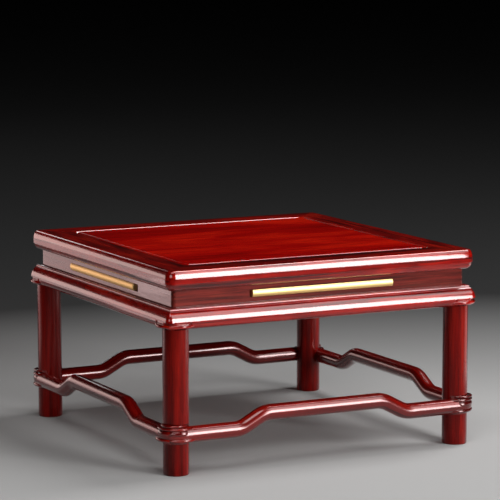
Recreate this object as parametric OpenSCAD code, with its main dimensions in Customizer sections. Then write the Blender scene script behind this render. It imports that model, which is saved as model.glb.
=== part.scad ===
// Small square hardwood stand: a framed top on a waist and a bullnose apron, with round legs
// and hump-back stretchers that wrap round the outside of the legs.
// Millimetres. The origin is on the floor under the middle of the top, +Z up, front towards -Y.

/* [Overall] */
// Height of the top surface above the floor
height = 70; // [66:1:90]
// Distance between the axes of neighbouring legs
leg_spacing = 110; // [104:1:140]
// Gap left for glue in every joint
fit = 0.05; // [0.02:0.01:0.08]

/* [Top frame] */
// How far the frame's face stands outside the leg axes
frame_overhang = 5; // [4.6:0.1:7]
// Thickness of the frame
frame_t = 7; // [6.6:0.1:9]
// Width of a frame rail
frame_rail_w = 12.8; // [12.2:0.1:18]
// Radius of the arris between the top and the leaning edge
frame_edge_r = 1.25; // [0.8:0.05:1.6]
// Lean of the edge below that arris, in degrees
frame_lean = 25; // [15:1:30]
// Radius of the curve from the leaning edge to the upright band
frame_lean_r = 5.4; // [4:0.1:5.6]
// Height of the frame above the step in its edge
frame_band_h = 4.6; // [4.2:0.1:5.2]
// Small step in under the upright band
frame_step = 0.3; // [0.1:0.05:0.6]
// Radius of the frame's upright corners
frame_corner_r = 2.9; // [1:0.1:2.9]
// Thickness of the tenons in the frame's mitres
frame_tenon_t = 2.4; // [1.6:0.1:3]
// Wood left round a blind tenon
tenon_wall = 0.6; // [0.4:0.1:0.9]

/* [Panel and batten] */
// Thickness of the panel
panel_t = 4.6; // [4.2:0.1:5]
// Bevel along the panel's edge
seam_bevel = 0.5; // [0.2:0.05:0.8]
// Bevel along the frame's inner edge
rail_bevel = 1; // [0.4:0.05:1.2]
// Length of the panel's tongue
panel_tongue_l = 3; // [2:0.1:3.4]
// Thickness of the panel's tongue
panel_tongue_t = 1.5; // [1:0.1:1.8]
// Depth of the tongue below the top surface
panel_tongue_down = 1.6; // [1.2:0.1:2]
// Room for the panel to swell, on each side
panel_swell = 0.2; // [0.1:0.05:0.5]
// Width of the batten under the panel
batten_w = 9; // [7.6:0.1:14]
// Height of the batten below the panel
batten_h = 2.2; // [1.8:0.1:2.4]
// Depth of the batten's dovetail in the panel
dovetail_d = 1.2; // [0.8:0.1:1.6]
// Width of the dovetail at its top
dovetail_w = 7; // [6:0.1:7.4]
// How far each cheek of the dovetail slopes in
dovetail_slope = 0.6; // [0.3:0.1:1]
// Length of the batten's tenons
batten_tenon_l = 3; // [2:0.1:4]
// Shoulder above and below the batten's tenons
batten_shoulder = 0.45; // [0.3:0.05:0.6]

/* [Waist] */
// How far the waist's face stands outside the leg axes
waist_overhang = 2; // [1.6:0.1:2.4]
// Height of the waist between frame and apron
waist_h = 5.8; // [4.6:0.1:9]
// Thickness of a waist board
waist_t = 3; // [2.4:0.1:3.6]
// Depth of the grooves that hold the waist boards
waist_seat = 1.2; // [0.8:0.1:1.4]
// Radius of the waist's upright corners
waist_corner_r = 1.4; // [0.5:0.1:2]

/* [Inlay strips] */
// Length of a strip
strip_l = 55; // [40:1:80]
// Height of a strip
strip_h = 2.4; // [1.8:0.1:2.8]
// How far a strip stands proud of the waist
strip_proud = 0.55; // [0.45:0.05:0.9]
// Radius of a strip's rounded front
strip_dome_r = 2; // [1.6:0.1:3]
// Depth of the slots for the strips
slot_d = 1.2; // [0.8:0.1:1.6]
// Radius of the corners of the slots
slot_corner_r = 0.5; // [0.3:0.05:0.6]
// Spare length of the front and back slots at each end of their strips
front_slot_spare = 0.6; // [0.6:0.1:2]
// Spare length of the left and right slots at each end of their strips
side_slot_spare = 1.7; // [1.7:0.1:3]
// How far the front and back strips lie off the middle of their slots
front_strip_slide = 0.4; // [0:0.1:0.4]
// How far the left and right strips lie off the middle of their slots
side_strip_slide = 1.4; // [0:0.1:1.4]

/* [Apron] */
// How far the apron's nose stands outside the leg axes
apron_overhang = 5.6; // [5.2:0.1:7]
// Height of the apron
apron_h = 7.2; // [6.8:0.1:9]
// Width of an apron rail
apron_rail_w = 10.6; // [10:0.1:14]
// Radius of the upper part of the nose
apron_nose_r = 4.9; // [4.6:0.1:6]
// Radius of the under part of the nose
apron_under_r = 2.4; // [2.2:0.1:3.2]
// Radius of the bead at the foot of the waist
apron_bead_r = 0.55; // [0.4:0.05:0.6]
// How far that bead's middle stands outside the waist's face
apron_bead_out = 1; // [0.8:0.05:1.2]
// Depth of that bead's middle below the foot of the waist
apron_bead_down = 0.6; // [0.5:0.05:0.8]
// Radius of the apron's upright corners
apron_corner_r = 1.9; // [0.6:0.1:2]
// Radius, about the leg axis, of the lip under each corner
apron_lip_r = 6.9; // [6.5:0.1:7.5]
// Thickness of that lip
apron_lip_t = 1.2; // [0.8:0.1:1.6]
// Height of that lip above the apron's underside
apron_lip_up = 0.65; // [0.4:0.05:0.9]
// Height of the groove above that lip
apron_groove_h = 0.75; // [0.4:0.05:1]
// Depth of that groove behind the lip
apron_groove_d = 0.8; // [0.3:0.1:1]
// Thickness of the tenons in the apron's mitres
apron_tenon_t = 2; // [1.4:0.1:2.4]

/* [Legs] */
// Diameter of a leg
leg_d = 9; // [8.4:0.1:10]
// Diameter of the round tenon on a leg
leg_tenon_d = 5; // [4:0.1:5.4]
// Length of that tenon
leg_tenon_l = 5.2; // [4:0.1:5.4]
// Bevel round the foot
foot_bevel = 0.3; // [0.1:0.05:0.8]

/* [Stretchers] */
// Diameter of a stretcher
bar_d = 5.5; // [5:0.1:5.8]
// Height of the stretcher's axis at the legs
bar_z = 14; // [10:0.5:24]
// How far the stretcher's axis stands outside the leg axes
bar_overhang = 3.4; // [3.1:0.1:3.8]
// Length of the hump between its corners
hump_l = 46.6; // [30:0.5:54]
// Rise of the hump
hump_rise = 4.8; // [3:0.1:6]
// Slope of the hump's ends, in degrees
hump_slope = 28; // [24:1:40]
// Radius of the bends along the stretcher's axis
bend_r = 9.5; // [4:0.1:11]
// How much fuller a bend is than the straight runs, in radius
bend_swell = 0.03; // [0.02:0.01:0.06]
// Length of a straight run that laps into a bend
bend_lap = 0.3; // [0.1:0.05:0.35]

/* [Wrapped joints] */
// Distance of the leg's flats from the leg axis
flat_out = 2.6; // [2.3:0.1:3]
// Top of the wrap above the stretcher's axis
wrap_up = 3.75; // [3.75:0.05:4.2]
// Bottom of the wrap below the stretcher's axis
wrap_down = 3; // [2.95:0.05:3.4]
// How far the mouldings stand outside the bar at the mitre
wrap_proud = 0.1; // [0.05:0.05:0.3]
// Radius of the wrap's nose
wrap_nose_r = 1.4; // [1.1:0.1:1.5]
// Height of the nose's middle above the stretcher's axis
wrap_nose_up = 0.6; // [0.4:0.05:0.7]
// Thickness of the wrap's lip
wrap_lip_t = 1.2; // [1:0.1:1.4]
// Depth of the lip's middle below the stretcher's axis
wrap_lip_down = 1.65; // [1.5:0.05:1.8]
// How far the lip's ring is set from the leg axis away from the mitre
wrap_lip_set = 1.2; // [0.9:0.05:1.2]
// Radius of the lower, larger bead
bead_big_r = 0.45; // [0.3:0.05:0.5]
// Height of the larger bead above the stretcher's axis
bead_big_up = 2.2; // [2.1:0.05:2.25]
// Radius of the upper, smaller bead
bead_small_r = 0.4; // [0.25:0.05:0.4]
// Height of the smaller bead above the stretcher's axis
bead_small_up = 3.3; // [3.25:0.05:3.35]
// How far the smaller bead's ring is set from the leg axis towards the mitre
bead_small_set = 1.75; // [1.6:0.05:1.8]
// Height of the stretcher's tenons
bar_tenon_h = 2.4; // [1.6:0.1:2.6]
// Distance of the tenon's inner cheek from the leg axis
bar_tenon_in = 1.1; // [0.9:0.1:1.6]
// Distance of the tenon's end from the leg axis
bar_tenon_end = 0.8; // [0.4:0.1:1.6]

/* [Hidden] */
$fn = 64;
over = 1;
far = 2 * leg_spacing;
leg_half = leg_spacing / 2;
leg_r = leg_d / 2;
bar_r = bar_d / 2;

frame_face = leg_half + frame_overhang;
frame_in = frame_face - frame_rail_w;
frame_z = height - frame_t;
band_z = height - frame_band_h;
arris = [frame_face - frame_lean_r + (frame_lean_r - frame_edge_r) * cos(frame_lean), height - frame_edge_r];
lean_z = arris.y - (frame_lean_r - frame_edge_r) * sin(frame_lean);
ovolo_r = frame_t - frame_band_h;
waist_face = leg_half + waist_overhang;
waist_in = waist_face - waist_t;
waist_z = frame_z - waist_h;
apron_face = leg_half + apron_overhang;
apron_in = apron_face - apron_rail_w;
apron_z = waist_z - apron_h;

panel_half = frame_in - panel_swell;
panel_z = height - panel_t;
tongue_z = height - panel_tongue_down - panel_tongue_t;
groove_d = panel_tongue_l + panel_swell;
batten_z = panel_z - batten_h;
batten_tenon_w = dovetail_w - 2 * dovetail_slope;
strip_z = waist_z + waist_h / 2;
slot_h = strip_h + 2 * fit;

frame_tenon_in = frame_in + groove_d + tenon_wall;
frame_tenon_out = waist_in - tenon_wall;
frame_tenon_z = frame_z + (frame_t - frame_tenon_t) / 2;
apron_tenon_in = leg_half - leg_tenon_d / 2 - tenon_wall;
apron_tenon_out = leg_half + leg_tenon_d / 2 + tenon_wall;
apron_tenon_z = apron_z + (apron_h - waist_seat - apron_tenon_t) / 2;

wrap_reach = bar_overhang + bar_r + wrap_proud;
hump_half = hump_l / 2;
low_y = hump_half + hump_rise / tan(hump_slope);
bend_set = bend_r * tan(hump_slope / 2);

// Turn from the right-hand side, on which every side piece is drawn, to the named side
RIGHT = 0;
BACK = 90;
LEFT = 180;
FRONT = 270;

// Carries a section, drawn as distance out and height, along the right-hand side
module along(length) {
    rotate([90, 0, 0])
        linear_extrude(length, center = true)
            children();
}

// Places children at both ends of the right-hand side, the second one mirrored
module both_ends() {
    children();
    mirror([0, 1, 0])
        children();
}

// Plan of the right-hand side between its two mitres
module mitre_plan() {
    translate([fit, 0])
        polygon([[0, 0], [far, -far], [far, far]]);
}

// Everything between the two mitres of the right-hand side
module mitre_wedge() {
    translate([0, 0, -over])
        linear_extrude(height + 2 * over)
            mitre_plan();
}

// A moulding with mitred ends whose outermost part turns the corner on a radius
module mitred_rail(face, corner_r) {
    corner = face - corner_r;
    intersection() {
        mitre_wedge();
        union() {
            along(2 * corner)
                children();
            both_ends()
                translate([corner, corner, 0])
                    rotate_extrude(angle = 45)
                        intersection() {
                            translate([-corner, 0])
                                children();
                            square([corner_r + over, height + over]);
                        }
        }
    }
}

// Square block across both mitres of the right-hand side, from inside to outside
module corner_block(inside, outside, z, thickness, gap) {
    both_ends()
        translate([inside - gap, inside - gap, z - gap])
            cube([outside - inside + 2 * gap, outside - inside + 2 * gap, thickness + 2 * gap]);
}

// Section of a groove that holds an edge of a waist board
module waist_groove(z) {
    translate([waist_in - fit, z])
        square([waist_t + 2 * fit, waist_seat + fit]);
}

// Section of the frame: arris, leaning edge, upright band, step and ovolo, with its two grooves
module frame_section() {
    ovolo_x = frame_face - frame_step - ovolo_r;
    difference() {
        union() {
            translate([frame_in, band_z])
                square([frame_rail_w, lean_z - band_z]);
            translate([frame_in, band_z])
                square([arris.x - frame_in, frame_band_h]);
            translate(arris)
                circle(frame_edge_r);
            translate([frame_face - frame_lean_r, lean_z])
                intersection() {
                    circle(frame_lean_r);
                    square(frame_lean_r * [1, sin(frame_lean)]);
                }
            translate([frame_in, frame_z])
                square([ovolo_x - frame_in, ovolo_r]);
            intersection() {
                translate([ovolo_x, band_z])
                    circle(ovolo_r);
                translate([ovolo_x, frame_z])
                    square(ovolo_r);
            }
        }
        translate([frame_in, height])
            rotate(45)
                square(rail_bevel * sqrt(2), center = true);
        translate([frame_in - over, tongue_z - fit])
            square([groove_d + fit + over, panel_tongue_t + 2 * fit]);
        waist_groove(frame_z);
    }
}

// Rail of the top frame; front and back rails have tenons and take the batten, the others have mortises
module top_rail(side, tenoned) {
    color("#6b1a14")
        rotate(side)
            difference() {
                union() {
                    mitred_rail(frame_face, frame_corner_r)
                        frame_section();
                    if (tenoned)
                        corner_block(frame_tenon_in, frame_tenon_out, frame_tenon_z, frame_tenon_t, 0);
                }
                if (tenoned)
                    translate([frame_in - over, 0, 0])
                        batten_tenon(over + batten_tenon_l, fit);
                else
                    corner_block(frame_tenon_in, frame_tenon_out, frame_tenon_z, frame_tenon_t, fit);
            }
}

// Tenon of the batten, from x = 0 outwards
module batten_tenon(length, gap) {
    translate([0, -batten_tenon_w / 2 - gap, batten_z + batten_shoulder - gap])
        cube([length + gap, batten_tenon_w + 2 * gap, batten_h - 2 * batten_shoulder + 2 * gap]);
}

// Section of the panel with bevelled top edges
module panel_section() {
    polygon([
        [-panel_half, panel_z], [panel_half, panel_z],
        [panel_half, height - seam_bevel], [panel_half - seam_bevel, height],
        [seam_bevel - panel_half, height], [-panel_half, height - seam_bevel]
    ]);
}

// Section of the batten's dovetail, standing on the underside of the panel
module dovetail_section(gap) {
    neck = batten_tenon_w / 2 + gap;
    wide = dovetail_w / 2 + gap;
    polygon([[-neck, panel_z - over], [neck, panel_z - over], [neck, panel_z],
        [wide, panel_z + dovetail_d + gap], [-wide, panel_z + dovetail_d + gap], [-neck, panel_z]]);
}

// Floating panel, tongued into the frame on all sides
module top_panel() {
    tongue_half = panel_half + panel_tongue_l;
    color("#8c1f14")
        difference() {
            union() {
                intersection() {
                    along(2 * panel_half)
                        panel_section();
                    rotate(90)
                        along(2 * panel_half)
                            panel_section();
                }
                translate([-tongue_half, -tongue_half, tongue_z])
                    cube([2 * tongue_half, 2 * tongue_half, panel_tongue_t]);
            }
            along(far)
                dovetail_section(fit);
        }
}

// Batten across the grain under the panel, dovetailed into it and tenoned into the frame
module panel_batten() {
    color("#5a1610") {
        along(2 * panel_half)
            dovetail_section(0);
        translate([-batten_w / 2, fit - frame_in, batten_z])
            cube([batten_w, 2 * (frame_in - fit), batten_h - fit]);
        for (turn = [BACK, FRONT])
            rotate(turn)
                translate([frame_in - over, 0, 0])
                    batten_tenon(over + batten_tenon_l, 0);
    }
}

// Square with rounded corners about the origin
module round_square(half, r) {
    square([2 * half, 2 * (half - r)], center = true);
    square([2 * (half - r), 2 * half], center = true);
    for (x = [-1, 1], y = [-1, 1])
        translate([x * (half - r), y * (half - r)])
            circle(r);
}

// Pocket with small round corners in the face of a waist board
module strip_slot(spare) {
    slot_l = strip_l + 2 * spare;
    translate([waist_face - slot_d, 0, strip_z])
        rotate([0, 90, 0])
            linear_extrude(slot_d + over) {
                square([slot_h, slot_l - 2 * slot_corner_r], center = true);
                square([slot_h - 2 * slot_corner_r, slot_l], center = true);
                for (across = [-1, 1], end = [-1, 1])
                    translate([across * (slot_h / 2 - slot_corner_r), end * (slot_l / 2 - slot_corner_r)])
                        circle(slot_corner_r);
            }
}

// Mitred waist board, held in grooves in the frame and the apron
module waist_board(side, spare) {
    color("#5e1712")
        rotate(side)
            difference() {
                translate([0, 0, waist_z - waist_seat])
                    linear_extrude(waist_h + 2 * waist_seat)
                        intersection() {
                            mitre_plan();
                            difference() {
                                round_square(waist_face, waist_corner_r);
                                square(2 * waist_in, center = true);
                            }
                        }
                strip_slot(spare);
            }
}

// Metal strip with a rounded front, laid in the slot of a waist board
module inlay_strip(side, slide) {
    back = waist_face - slot_d + fit;
    front = waist_face + strip_proud;
    color("#e0b860")
        rotate(side)
            translate([0, slide, 0])
                along(strip_l)
                    intersection() {
                        translate([back, strip_z - strip_h / 2])
                            square([front - back, strip_h]);
                        union() {
                            translate([front - strip_dome_r, strip_z])
                                circle(strip_dome_r);
                            translate([back, strip_z - strip_h / 2])
                                square([front - strip_dome_r - back, strip_h]);
                        }
                    }
}

// Section of the apron: nose with two radii, bead at the foot of the waist and the waist's groove
module apron_section() {
    nose_z = apron_z + apron_under_r;
    nose_x = apron_face - apron_nose_r;
    under_x = apron_face - apron_under_r;
    difference() {
        union() {
            translate([apron_in, apron_z])
                square([nose_x - apron_in, apron_h]);
            intersection() {
                translate([nose_x, nose_z])
                    circle(apron_nose_r);
                translate([nose_x, nose_z])
                    square([apron_nose_r, apron_h - apron_under_r]);
            }
            translate([nose_x, apron_z])
                square([under_x - nose_x, apron_under_r]);
            intersection() {
                translate([under_x, nose_z])
                    circle(apron_under_r);
                translate([under_x, apron_z])
                    square(apron_under_r);
            }
            translate([waist_face + apron_bead_out, waist_z - apron_bead_down])
                circle(apron_bead_r);
        }
        waist_groove(waist_z - waist_seat - fit);
    }
}

// Part ring at both ends of the right-hand side, from the mitre past the face, about the leg axis
// or about an axis set from it along the mitre
module corner_ring(past, set = 0) {
    both_ends()
        translate([leg_half + set / sqrt(2), leg_half + set / sqrt(2), 0])
            rotate(-past)
                rotate_extrude(angle = 45 + past)
                    children();
}

// Mitred apron rail with a lip and a groove that run round the leg at each corner
module apron_rail(side, tenoned) {
    lip_z = apron_z + apron_lip_up;
    lip_end_r = apron_lip_t / 2;
    color("#6b1a14")
        rotate(side)
            difference() {
                union() {
                    mitred_rail(apron_face, apron_corner_r)
                        apron_section();
                    intersection() {
                        mitre_wedge();
                        corner_ring(60)
                            translate([leg_r, lip_z]) {
                                square([apron_lip_r - lip_end_r - leg_r, apron_lip_t]);
                                translate([apron_lip_r - lip_end_r - leg_r, lip_end_r])
                                    circle(lip_end_r);
                            }
                    }
                    if (tenoned)
                        corner_block(apron_tenon_in, apron_tenon_out, apron_tenon_z, apron_tenon_t, 0);
                }
                corner_ring(30)
                    translate([apron_lip_r - apron_groove_d, lip_z + apron_lip_t])
                        square([apron_overhang, apron_groove_h]);
                if (!tenoned)
                    corner_block(apron_tenon_in, apron_tenon_out, apron_tenon_z, apron_tenon_t, fit);
                both_ends()
                    translate([leg_half, leg_half, apron_z - over])
                        cylinder(h = over + leg_tenon_l + fit, d = leg_tenon_d + 2 * fit);
            }
}

// Recess that one stretcher takes in a leg at the origin: the flat for the wrap and the tenon's mortise
module leg_recess() {
    translate([flat_out, -leg_d, bar_z - wrap_down - fit])
        cube([leg_d, 2 * leg_d, wrap_up + wrap_down + 2 * fit]);
    translate([bar_tenon_in - fit, -leg_d, bar_z - bar_tenon_h / 2 - fit])
        cube([leg_d, leg_d - bar_tenon_end + fit, bar_tenon_h + 2 * fit]);
}

// Round leg with a round tenon, cut square on its two outer sides where the stretchers wrap it
module leg(side) {
    shaft = apron_z - fit;
    color("#7a1e16")
        rotate(side)
            translate([leg_half, leg_half, 0])
                difference() {
                    union() {
                        cylinder(h = foot_bevel, d1 = leg_d - 2 * foot_bevel, d2 = leg_d);
                        translate([0, 0, foot_bevel])
                            cylinder(h = shaft - foot_bevel, d = leg_d);
                        cylinder(h = shaft + leg_tenon_l, d = leg_tenon_d);
                    }
                    leg_recess();
                    mirror([1, -1, 0])
                        leg_recess();
                }
}

// Straight length of the bar from one point to another in the stretcher's upright plane
module bar_run(from, to) {
    step = to - from;
    translate([from.x, from.y, 0])
        rotate(atan2(step.y, step.x))
            rotate([0, 90, 0])
                cylinder(h = norm(step), r = bar_r);
}

// Bend of the bar about a centre in the stretcher's upright plane
module bar_bend(centre, start) {
    translate([centre.x, centre.y, 0])
        rotate(start)
            rotate_extrude(angle = hump_slope)
                translate([bend_r, 0])
                    circle(bar_r + bend_swell);
}

// The hump-backed bar in its upright plane; its straight runs lap a little way into the bends
module bar() {
    hump_z = bar_z + hump_rise;
    upper = [hump_half - bend_set, hump_z - bend_r];
    lower = [low_y + bend_set, bar_z + bend_r];
    reach = bend_r * [sin(hump_slope), cos(hump_slope)];
    lap = bend_lap * [cos(hump_slope), -sin(hump_slope)];
    bar_run([-upper.x - bend_lap, hump_z], [upper.x + bend_lap, hump_z]);
    for (end = [0, 1])
        mirror([end, 0, 0]) {
            bar_bend(upper, 90 - hump_slope);
            bar_run(upper + reach - lap, lower - reach + lap);
            bar_bend(lower, 270 - hump_slope);
            bar_run([lower.x - bend_lap, bar_z], [leg_half, bar_z]);
        }
}

// Section of the wrap round the leg: infill and nose
module wrap_section() {
    translate([flat_out - over, -wrap_down])
        square([leg_r - flat_out + over, wrap_up + wrap_down]);
    translate([wrap_reach - wrap_nose_r, wrap_nose_up])
        circle(wrap_nose_r);
}

// Lip under the wrap, on a flat curve that dies away along the bar
module wrap_lip() {
    lip_r = wrap_lip_t / 2;
    corner_ring(50, -wrap_lip_set)
        translate([wrap_reach + wrap_lip_set - lip_r, bar_z - wrap_lip_down])
            circle(lip_r);
}

// Larger bead, which dies away into the top of the bar
module big_bead() {
    corner_ring(52)
        translate([wrap_reach - bead_big_r, bar_z + bead_big_up])
            circle(bead_big_r);
}

// Smaller bead, which dies away into the leg
module small_bead() {
    both_ends()
        translate([leg_half, leg_half, bar_z + bead_small_up])
            rotate(45)
                translate([bead_small_set, 0, 0])
                    rotate_extrude()
                        translate([wrap_reach - bead_small_set - bead_small_r, 0])
                            circle(bead_small_r);
}

// Everything outside the leg's flat, at both ends of the right-hand side, and inside its round elsewhere
module leg_core() {
    both_ends()
        intersection() {
            translate([leg_half, leg_half, 0])
                cylinder(h = apron_z, r = leg_r + fit);
            translate([leg_half - leg_d, leg_half - leg_d, 0])
                cube([leg_d + flat_out + fit, 2 * leg_d, apron_z]);
        }
}

// Hump-backed stretcher with moulded ends that wrap the legs, mitred to its neighbours and tenoned in
module stretcher(side) {
    tenon_l = leg_r - bar_tenon_end;
    color("#7a1e16")
        rotate(side)
            intersection() {
                mitre_wedge();
                union() {
                    difference() {
                        union() {
                            translate([leg_half + bar_overhang, 0, 0])
                                rotate([90, 0, 90])
                                    bar();
                            corner_ring(0)
                                translate([bar_overhang, bar_z])
                                    circle(bar_r);
                            corner_ring(60)
                                translate([0, bar_z])
                                    wrap_section();
                            wrap_lip();
                            big_bead();
                            small_bead();
                        }
                        leg_core();
                    }
                    both_ends()
                        translate([leg_half + bar_tenon_in, leg_half - leg_r, bar_z - bar_tenon_h / 2])
                            cube([flat_out - bar_tenon_in + over, tenon_l, bar_tenon_h]);
                }
            }
}

top_rail(FRONT, true);  // top_rail_front
top_rail(BACK, true);  // top_rail_back
top_rail(LEFT, false);  // top_rail_left
top_rail(RIGHT, false);  // top_rail_right
top_panel();
panel_batten();
waist_board(FRONT, front_slot_spare);  // waist_front
waist_board(BACK, front_slot_spare);  // waist_back
waist_board(LEFT, side_slot_spare);  // waist_left
waist_board(RIGHT, side_slot_spare);  // waist_right
inlay_strip(FRONT, front_strip_slide);  // strip_front
inlay_strip(BACK, front_strip_slide);  // strip_back
inlay_strip(LEFT, -side_strip_slide);  // strip_left
inlay_strip(RIGHT, side_strip_slide);  // strip_right
apron_rail(FRONT, true);  // apron_front
apron_rail(BACK, true);  // apron_back
apron_rail(LEFT, false);  // apron_left
apron_rail(RIGHT, false);  // apron_right
leg(LEFT);  // leg_front_left
leg(FRONT);  // leg_front_right
leg(BACK);  // leg_back_left
leg(RIGHT);  // leg_back_right
stretcher(FRONT);  // stretcher_front
stretcher(BACK);  // stretcher_back
stretcher(LEFT);  // stretcher_left
stretcher(RIGHT);  // stretcher_right
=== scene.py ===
# %% [markdown]
# A small lacquered hardwood stand
#
# The stand is a framed panel on a waist and a bullnose apron, with four round legs and
# hump-backed stretchers that wrap round them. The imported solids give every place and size.
# Each visible piece is then made again as a fine surface, worked out with numpy, because a
# section carried along a path gives smooth mouldings that take the light as planed wood does.

# %% Load the frame
import math
import bpy
import numpy as np
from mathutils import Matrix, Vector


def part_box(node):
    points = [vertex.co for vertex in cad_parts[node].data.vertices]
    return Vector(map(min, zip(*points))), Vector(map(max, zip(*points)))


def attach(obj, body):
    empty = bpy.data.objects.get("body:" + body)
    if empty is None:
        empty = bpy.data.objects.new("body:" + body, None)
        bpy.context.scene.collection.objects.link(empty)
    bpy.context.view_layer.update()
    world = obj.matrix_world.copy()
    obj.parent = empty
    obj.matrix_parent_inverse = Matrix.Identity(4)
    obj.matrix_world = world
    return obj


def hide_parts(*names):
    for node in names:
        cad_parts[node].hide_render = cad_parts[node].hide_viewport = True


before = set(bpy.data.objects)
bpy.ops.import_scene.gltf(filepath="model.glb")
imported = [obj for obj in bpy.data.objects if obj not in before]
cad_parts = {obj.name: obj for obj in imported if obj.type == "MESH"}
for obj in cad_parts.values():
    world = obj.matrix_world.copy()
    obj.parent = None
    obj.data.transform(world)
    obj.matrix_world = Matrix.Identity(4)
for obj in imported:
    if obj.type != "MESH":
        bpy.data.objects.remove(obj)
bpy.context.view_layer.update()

# %% [markdown]
# Sizes read from the solids
#
# The surfaces must lie where the solids are, so the main planes are read from the solids' boxes
# rather than typed again. Lengths are kept in millimetres, as a joiner would write them.

# %% Main planes
MM = 0.001
X, Y, Z = range(3)
LOW, HIGH = range(2)


def reach(node, axis, end):
    """One face of a node's box along an axis, low or high, in millimetres."""
    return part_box(node)[end][axis] / MM


def span(node, axis):
    """A node's size along an axis: its high face less its low face."""
    return reach(node, axis, HIGH) - reach(node, axis, LOW)


def halfway(node, axis):
    """A node's middle along an axis: the mean of its two faces."""
    return (reach(node, axis, LOW) + reach(node, axis, HIGH)) / 2


TOP = reach("top_panel", Z, HIGH)
FRAME_FACE = reach("top_rail_right", X, HIGH)
FRAME_IN = reach("top_rail_right", X, LOW)
FRAME_Z = reach("top_rail_right", Z, LOW)
WAIST_FACE = reach("waist_right", X, HIGH)
LEG_R = span("leg_back_right", X) / 2
LEG_AXIS = reach("leg_back_right", X, HIGH) - LEG_R
APRON_Z = reach("apron_right", Z, LOW)
print("top", TOP, "frame face", FRAME_FACE, "leg axis", LEG_AXIS, "leg radius", LEG_R)

# %% [markdown]
# Camera
#
# The photograph was taken from about a metre away with a long lens, a little above the stand
# and to the left of its front. A camera could be placed by eye. These numbers were fitted to the
# corners of the stand instead, so that a render can be laid over the photograph.

# %% Camera
CAMERA_PLACE = (-0.41665, -0.81821, 0.19538)
CAMERA_DIP = math.radians(8.016)
CAMERA_TURN = math.radians(-27.05)
camera_data = bpy.data.cameras.new("camera")
camera_data.sensor_width = 36
camera_data.lens = 183.73
camera_data.clip_start = 0.01
camera = bpy.data.objects.new("camera", camera_data)
camera.location = CAMERA_PLACE
camera.rotation_euler = (math.pi / 2 - CAMERA_DIP, 0, CAMERA_TURN)
bpy.context.collection.objects.link(camera)
bpy.context.scene.camera = camera
print("camera at", [round(v, 3) for v in camera.location])

# %% [markdown]
# From arrays to meshes
#
# A piece is a grid of points: one way along the piece, the other way round its section. Faces
# could be added one by one, but whole arrays are shorter and quicker. A helper joins neighbours
# into quads, closes the ends and turns all faces outwards. Each point also carries its place in
# the board it was cut from, so that the grain can follow it.

# %% Faces of a grid


def grid_faces(rows, cols):
    """Quads between neighbouring rows of a grid whose columns close on themselves, and two end caps."""
    point = np.arange(rows * cols).reshape(rows, cols)
    after = np.roll(point, -1, axis=1)
    quads = np.stack([point[:-1], after[:-1], after[1:], point[1:]], axis=-1).reshape(-1, 4)
    return quads, np.stack([point[0, ::-1], point[-1]])


def volume(points, quads):
    """Signed volume under the quads: a sixth of the sum of the triple products of their two triangles."""
    a, b, c, d = (points[quads[:, k]] for k in range(4))
    return np.sum(a * np.cross(b, c) + a * np.cross(c, d)) / 6


print("a tube of 3 rows and 4 columns has", len(grid_faces(3, 4)[0]), "quads and 2 caps")

# %% Pieces
SHARP_DEGREES = 38


def piece(name, shells, material, node):
    """A named object from closed shells. A shell is two grids, in millimetres: its points, and the place
    of each point in the board. Where a shell's signed volume is negative, its faces are turned round."""
    points, grain, faces = [], [], []
    start = 0
    for shell, board in shells:
        flat = shell.reshape(-1, 3)
        quads, caps = grid_faces(*shell.shape[:2])
        if volume(flat, quads) < 0:
            quads, caps = quads[:, ::-1], caps[:, ::-1]
        faces += (quads + start).tolist() + (caps + start).tolist()
        points.append(flat)
        grain.append(board.reshape(-1, 3))
        start += len(flat)
    mesh = bpy.data.meshes.new(name)
    mesh.from_pydata((np.concatenate(points) * MM).tolist(), [], faces)
    grain_places = mesh.attributes.new("grain", "FLOAT_VECTOR", "POINT").data
    grain_places.foreach_set("vector", np.concatenate(grain).ravel())
    mesh.shade_smooth()
    mesh.set_sharp_from_angle(angle=math.radians(SHARP_DEGREES))
    mesh.materials.append(material)
    obj = bpy.data.objects.new(name, mesh)
    bpy.context.collection.objects.link(obj)
    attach(obj, "root")
    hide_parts(node)
    print(name, len(mesh.polygons), "faces")


print("edges that bend by more than", SHARP_DEGREES, "degrees stay sharp")

# %% Arcs and rounded corners
CORNER_POINTS = 9


def arc(x, z, r, start, end, steps):
    """Points on a circle about (x, z), from one angle to another, in degrees."""
    angle = np.radians(np.linspace(start, end, steps))
    return np.column_stack([x + r * np.cos(angle), z + r * np.sin(angle)])


def rounded_outline(corners, radii):
    """Closed outline with an arc at every corner.
    With sides a and b from corner P and half the angle between them h, the arc's centre is
    P + (a + b)/|a + b| r / sin h, and it runs between the points P + a r / tan h and P + b r / tan h."""
    corner = np.asarray(corners, float)
    r = np.asarray(radii, float)[:, None]
    a = np.roll(corner, 1, axis=0) - corner
    b = np.roll(corner, -1, axis=0) - corner
    a /= np.linalg.norm(a, axis=1, keepdims=True)
    b /= np.linalg.norm(b, axis=1, keepdims=True)
    half = np.arccos(np.clip(np.sum(a * b, axis=1), -1, 1))[:, None] / 2
    middle = (a + b) / np.linalg.norm(a + b, axis=1, keepdims=True)
    centre = corner + middle * r / np.sin(half)
    first = corner + a * r / np.tan(half) - centre
    last = corner + b * r / np.tan(half) - centre
    turn = (math.pi - 2 * half)[:, None, :]
    t = np.linspace(0, 1, CORNER_POINTS)[None, :, None]
    curve = (first[:, None] * np.sin((1 - t) * turn) + last[:, None] * np.sin(t * turn)) / np.sin(turn)
    return (centre[:, None] + curve).reshape(-1, 2)


print("rounded square:", rounded_outline([(0, 0), (1, 0), (1, 1), (0, 1)], [0.2] * 4).shape)

# %% [markdown]
# Turning a side into four
#
# The stand has four equal sides. Each side piece is drawn once on the right, with its length
# along Y. Copies of the object could be rotated, but the points themselves are turned by quarter
# turns about the upright axis, so that every object stays at the origin and unturned.

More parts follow.
